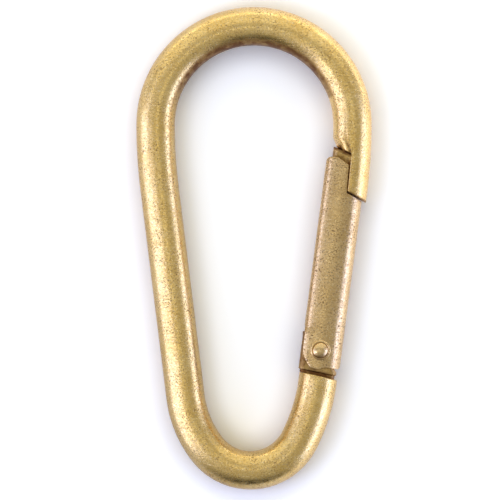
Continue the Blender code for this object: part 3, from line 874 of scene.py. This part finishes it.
def make_gate(finish):
    """The folded sheet: pattern faces on both sides, joined by rounded rims."""
    outline = np.array(gate_outline())
    radii = outline[:, 2]
    for _ in range(6):
        radii = (np.roll(radii, 1) + radii + np.roll(radii, -1)) / 3
    middle = pattern_place(0.0)
    angles = np.linspace(0, 2 * math.pi, 48, endpoint=False)
    circle = np.stack([np.cos(angles), -np.sin(angles)], axis=1) * RIVET_HOLE
    loops = [(outline[:, :2], radii)]
    for centre in (middle, PATTERN_WIDTH - middle):
        loops.append((circle + (centre, 0.0), np.full(len(circle), RIM_BACK)))

    points, stain_and_shade, faces, face_loops, back_loops = [], [], [], [], []
    for loop, radius in loops:
        inwards = rim_normals(loop)
        profile = [(1 - math.cos(a), 1 - math.sin(a)) for a in spread(0.5 * math.pi, 0.0, 6)]
        rows = [(radius * share_in, radius * share_down) for share_in, share_down in profile]
        rows += [(np.zeros(len(loop)), np.full(len(loop), SHEET - RIM_BACK)),
                 (np.full(len(loop), RIM_BACK), np.full(len(loop), SHEET))]
        first = len(points)
        for inset, depth in rows:
            moved = loop + inwards * inset[:, None]
            points += [folded(p, u, d) for (p, u), d in zip(moved.tolist(), depth.tolist())]
            stain_and_shade += [0.0] * len(loop)
        count = len(loop)
        for row in range(len(rows) - 1):
            for k in range(count):
                other = (k + 1) % count
                start = first + row * count
                faces.append((start + k, start + other, start + count + other,
                              start + count + k))
        face_loops.append((loop + inwards * rows[0][0][:, None], first))
        back_loops.append((loop + inwards * RIM_BACK, first + (len(rows) - 1) * count))

    grid = pattern_grid()
    for sides, depth in ((face_loops, 0.0), (back_loops, SHEET)):
        keep = inside(grid, sides[0][0]) & clear_of(grid, [loop for loop, _ in sides],
                                                       GRID_CLEARANCE)
        for loop, _ in sides[1:]:
            keep &= ~inside(grid, loop)
        inner = grid[keep]
        first_inner = len(points)
        points += [folded(p, u, depth) for p, u in inner.tolist()]
        stain_and_shade += [0.0 if depth == 0 else 0.5] * len(inner)
        flat, index, edges = [], [], []
        for loop, first in sides:
            base = len(flat)
            count = len(loop)
            flat += loop.tolist()
            index += list(range(first, first + count))
            edges += [(base + k, base + (k + 1) % count) for k in range(count)]
        flat += inner.tolist()
        index += list(range(first_inner, first_inner + len(inner)))
        verts, _, triangles, origin, _, _ = delaunay_2d_cdt(
            [Vector(point) for point in flat], edges, [], 1, 1e-6)
        centres = np.array([sum((verts[k] for k in face), Vector((0, 0))) / 3
                            for face in triangles])
        solid = inside(centres, sides[0][0])
        for loop, _ in sides[1:]:
            solid &= ~inside(centres, loop)
        for face, keep_face in zip(triangles, solid):
            if keep_face:
                faces.append(tuple(index[origin[k][0]] for k in face))

    seat_points, seat_faces = seat_tab()
    faces += [tuple(k + len(points) for k in face) for face in seat_faces]
    points += seat_points
    stain_and_shade += [0.6] * len(seat_points)
    return make_object("hook_gate", points, faces, finish, stain_and_shade, sharp=50.0)


def seat_tab():
    """Tab folded in from the outer side: a plate with rounded corners."""
    rooted, half = GATE_HALF_WIDTH - SHEET / 2, 1.9
    outline = filleted([(rooted, 0.0, 0), (rooted, half, 0.1), (-2.0, half, 0.8),
                        (-2.0, -half, 0.8), (rooted, -half, 0.1), (rooted, -0.1, 0)])
    centre = Vector((rooted / 2 - 1.0, 0.0))
    rings = []
    for along, share in ((0.0, 0.94), (0.1, 1.0), (SHEET - 0.1, 1.0), (SHEET, 0.94)):
        shape = [centre + share * (point - centre) for point in outline]
        rings.append([from_gate(point.x, SEAT_AT + along, point.y) for point in shape])
    return loft(rings)


# -------------------- rivet, plunger, spring

def make_rivet(finish):
    """Shank through both ears, with a hammered dome inside a rolled ring."""
    seat = GATE_HALF_DEPTH + HEAD_GAP
    bead, valley = BEAD_HEIGHT, VALLEY_HEIGHT
    profile = [(0.0, seat + DOME_HEIGHT)]
    for angle in spread(0.0, 0.5 * math.pi, 13)[1:]:
        profile.append((DOME_RADIUS * math.sin(angle),
                        seat + valley + (DOME_HEIGHT - valley) * math.cos(angle)))
    bead_middle = (DOME_RADIUS + 0.03 + HEAD_RADIUS) / 2
    bead_half = HEAD_RADIUS - bead_middle
    for angle in spread(math.pi, 0.0, 9):
        profile.append((bead_middle + bead_half * math.cos(angle),
                        seat + valley + (bead - valley) * math.sin(angle)))
    profile += [(HEAD_RADIUS, seat + 0.03), (HEAD_RADIUS - 0.03, seat), (RIVET_RADIUS, seat),
                (RIVET_RADIUS, -seat), (HEAD_RADIUS - 0.18, -seat)]
    for angle in spread(0.0, 0.5 * math.pi, 5):
        profile.append((HEAD_RADIUS - 0.35 + 0.2 * math.cos(angle),
                        -seat - BACK_HEAD_HEIGHT * math.sin(angle)))
    profile.append((0.0, -seat - BACK_HEAD_HEIGHT))

    def place(x, y, z):
        head = 1.0 if z > 0 and math.hypot(x, y) > RIVET_RADIUS or z > seat + 0.01 else 0.0
        lift = smooth_step((z - seat - valley) / (DOME_HEIGHT - valley) * 1.6)
        dome = lift if math.hypot(x, y) < DOME_RADIUS else 0.0
        shift = head * Vector(HEAD_SHIFT) + dome * Vector(DOME_SHIFT)
        return RIVET.x + x + shift.x, RIVET.y + y + shift.y, z + BAR_RADIUS

    points, faces = turned(profile, 64, place)
    stain_and_shade = []
    for x, y, z in points:
        off = math.hypot(x - RIVET.x - HEAD_SHIFT[0], y - RIVET.y - HEAD_SHIFT[1])
        low = 1 - smooth_step((z - BAR_RADIUS - seat - valley) / 0.12)
        # painted shade on the head's lower (-Y) side; the low ring between dome and bead is
        # darker too
        below = smooth_step((RIVET.y - 0.35 - y) / 0.7) if z > BAR_RADIUS + seat else 0.0
        stain_and_shade.append(max(0.75 * low, 0.5 * below) if off < HEAD_RADIUS - 0.05 else 0.0)
    return make_object("hook_rivet", points, faces, finish, stain_and_shade, sharp=60.0)


def make_plunger(finish):
    """Nail-shaped follower that lies along the gate."""
    edge, tip = 0.15, PLUNGER_LENGTH
    head, thick, pin = PLUNGER_HEAD_RADIUS, PLUNGER_HEAD_THICKNESS, PLUNGER_PIN_RADIUS
    profile = [(0.0, 0.0)]
    profile += [(head - edge + edge * math.sin(a), edge - edge * math.cos(a))
                for a in spread(0.0, 0.5 * math.pi, 5)]
    profile += [(head - edge + edge * math.cos(a), thick - edge + edge * math.sin(a))
                for a in spread(0.0, 0.5 * math.pi, 5)]
    profile += [(pin + 0.1, thick), (pin, thick + 0.1), (pin, tip - 0.4)]
    profile += [(pin - 0.4 * (1 - math.cos(a)), tip - 0.4 + 0.4 * math.sin(a))
                for a in spread(0.0, 0.5 * math.pi, 5)[1:]]
    profile.append((0.0, tip))
    start = TAIL_END + PLUNGER_GAP
    points, faces = turned(profile, 48, lambda x, y, z: from_gate(x, start + z, y))
    return make_object("plunger_pin", points, faces, finish, [0.25] * len(points))


def make_spring(finish):
    """Coil between the plunger's head and the folded tab, with closed end turns."""
    low = TAIL_END + PLUNGER_GAP + PLUNGER_HEAD_THICKNESS + SPRING_GAP + WIRE_RADIUS
    high = SEAT_AT - SPRING_GAP - WIRE_RADIUS
    end_pitch = 2 * WIRE_RADIUS + 0.06
    pitch = (high - low - 2 * end_pitch) / (SPRING_TURNS - 2)
    steps_per_turn = 28
    rings = []
    for step in range(SPRING_TURNS * steps_per_turn + 1):
        turn = step / steps_per_turn
        if turn < 1:
            along = low + end_pitch * turn
        elif turn > SPRING_TURNS - 1:
            along = high - end_pitch * (SPRING_TURNS - turn)
        else:
            along = low + end_pitch + pitch * (turn - 1)
        angle = 2 * math.pi * turn
        loop = []
        for k in range(12):
            wire = 2 * math.pi * k / 12
            out = SPRING_RADIUS + WIRE_RADIUS * math.cos(wire)
            loop.append(from_gate(out * math.cos(angle), along + WIRE_RADIUS * math.sin(wire),
                                  out * math.sin(angle)))
        rings.append(loop)
    spring = make_object("gate_spring", *loft(rings), finish)
    return spring, high - low + 2 * WIRE_RADIUS


# -------------------- studio

PICTURE_WIDTH = 103.6           # millimetres of the mid-thickness plane across the picture
PICTURE_CENTRE = (-0.83, -0.36)
CAMERA_HEIGHT = 2000.0
SENSOR = 36.0
# Ramps of brightness: (first place, last place, first level, last level)
MIRRORED_FLOOR = (("Y", -0.18, 0.15, 0.3, 1.4), ("X", -0.01, 0.06, 0.0, 1.1))
CONTACT_SHADOW = (0.3, 0.95, 0.6, 1.0)
SURROUNDINGS = (-1.0, -0.62, 0.03, 0.45)
FLOOR_COLOUR = (1.54, 1.55, 1.37)
SHADOW_REACH = 0.006            # metres


def make_camera():
    data = bpy.data.cameras.new("camera")
    data.sensor_width = SENSOR
    data.lens = SENSOR * CAMERA_HEIGHT / PICTURE_WIDTH
    camera = bpy.data.objects.new("camera", data)
    camera.location = (PICTURE_CENTRE[0] * MM, PICTURE_CENTRE[1] * MM,
                       (CAMERA_HEIGHT + BAR_RADIUS) * MM)
    bpy.context.scene.collection.objects.link(camera)
    bpy.context.scene.camera = camera


def softbox(name, position, width, height, brightness, tint=(1.0, 1.0, 1.0)):
    """Area light that faces the middle of the hook and isn't seen by the camera itself."""
    data = bpy.data.lights.new(name, "AREA")
    data.shape = "RECTANGLE"
    data.size, data.size_y = width, height
    data.energy = brightness * math.pi * width * height
    data.color = tint
    light = bpy.data.objects.new(name, data)
    light.location = position
    light.rotation_mode = "QUATERNION"
    light.rotation_quaternion = (-Vector(position)).to_track_quat("-Z", "Y")
    light.visible_camera = False
    bpy.context.scene.collection.objects.link(light)


def make_floor():
    """Pale matte floor with a soft contact shadow. The brass mirrors a graded level of it."""
    low = cad_box[0].z - 0.00003
    half = 3.0
    mesh = bpy.data.meshes.new("floor")
    mesh.from_pydata([(-half, -half, low), (half, -half, low), (half, half, low),
                      (-half, half, low)], [], [(0, 1, 2, 3)])
    floor = bpy.data.objects.new("floor", mesh)
    bpy.context.scene.collection.objects.link(floor)
    matte = bpy.data.materials.new("floor_matte")
    matte.use_nodes = True
    tree = matte.node_tree
    tree.nodes.remove(tree.nodes["Principled BSDF"])
    place = add_node(tree, "ShaderNodeTexCoord").outputs["Object"]
    parts = add_node(tree, "ShaderNodeSeparateXYZ", {0: place}).outputs
    # What the brass mirrors is brighter towards +Y, and on the gate's side
    graded = [ramp(tree, parts[axis], *levels) for axis, *levels in MIRRORED_FLOOR]
    reflected = add_node(tree, "ShaderNodeMath", dict(enumerate(graded)), operation="ADD")
    contact = add_node(tree, "ShaderNodeAmbientOcclusion", {"Distance": SHADOW_REACH})
    shadow = ramp(tree, contact.outputs["AO"], *CONTACT_SHADOW)
    shaded = add_node(tree, "ShaderNodeVectorMath", {0: FLOOR_COLOUR, "Scale": shadow},
                      operation="SCALE")
    seen = add_node(tree, "ShaderNodeLightPath").outputs["Is Camera Ray"]
    level = mixed(tree, seen, reflected.outputs[0], shaded.outputs[0])
    paper = add_node(tree, "ShaderNodeBsdfDiffuse", {"Color": level})
    tree.links.new(paper.outputs["BSDF"], tree.nodes["Material Output"].inputs["Surface"])
    mesh.materials.append(matte)


def make_world():
    """Even grey surroundings that darken towards the near side, pale to the camera."""
    world = bpy.data.worlds.new("studio")
    bpy.context.scene.world = world
    world.use_nodes = True
    tree = world.node_tree
    place = add_node(tree, "ShaderNodeTexCoord").outputs["Generated"]
    parts = add_node(tree, "ShaderNodeSeparateXYZ", {0: place}).outputs
    towards = ramp(tree, parts["Y"], *SURROUNDINGS, interpolation_type="SMOOTHSTEP")
    seen = add_node(tree, "ShaderNodeLightPath").outputs["Is Camera Ray"]
    level = add_node(tree, "ShaderNodeMix", {"Factor": seen, "A": towards, "B": 1.0})
    tree.links.new(level.outputs["Result"], tree.nodes["Background"].inputs["Color"])


make_camera()
make_floor()
make_world()
softbox("left", (-0.36, -0.08, 0.12), 0.36, 0.33, 1.33, (0.96, 1.08, 2.2))
softbox("left_high", (-0.21, -0.08, 0.30), 0.15, 0.18, 1.4, (0.97, 1.06, 2.0))
softbox("overhead", (-0.07, -0.04, 0.37), 0.05, 0.50, 0.75)
softbox("right", (0.37, -0.09, 0.11), 0.38, 0.22, 1.55, (0.90, 1.09, 2.4))
softbox("far_low", (-0.02, 0.39, 0.05), 0.90, 0.09, 1.5)
softbox("far_high", (-0.02, 0.28, 0.26), 0.90, 0.30, 0.5)
bpy.context.scene.view_settings.view_transform = "Standard"

bar_brass = brass("bar_brass", (0.94, 0.67, 0.24), (0.86, 0.575, 0.17), (0.60, 0.37, 0.09),
                  (0.20, 0.09, 0.025), satin=0.25, pitting=0.75, scratching=0.25)
sheet_brass = brass("sheet_brass", (0.83, 0.58, 0.25), (0.71, 0.47, 0.18), (0.47, 0.295, 0.11),
                    (0.17, 0.09, 0.035), satin=0.27, pitting=0.95, scratching=0.25)
pin_brass = brass("pin_brass", (0.90, 0.64, 0.28), (0.80, 0.53, 0.21), (0.57, 0.34, 0.12),
                  (0.17, 0.08, 0.03), satin=0.2, pitting=0.4, scratching=0.2)
turned_brass = brass("turned_brass", (0.86, 0.61, 0.27), (0.76, 0.50, 0.21),
                     (0.58, 0.35, 0.13), (0.18, 0.09, 0.04), satin=0.28, pitting=0.4,
                     scratching=0.3)
steel = spring_wire("spring_steel")

hook_body = make_body(bar_brass)
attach(hook_body, "body")
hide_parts("body")

hook_gate = make_gate(sheet_brass)
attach(hook_gate, "gate")
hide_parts("gate")

hook_rivet = make_rivet(pin_brass)
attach(hook_rivet, "gate")
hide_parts("rivet")

plunger_pin = make_plunger(turned_brass)
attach(plunger_pin, "plunger")
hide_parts("plunger")

gate_spring, spring_length = make_spring(steel)
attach(gate_spring, "gate")
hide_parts("spring")
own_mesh(gate_spring)
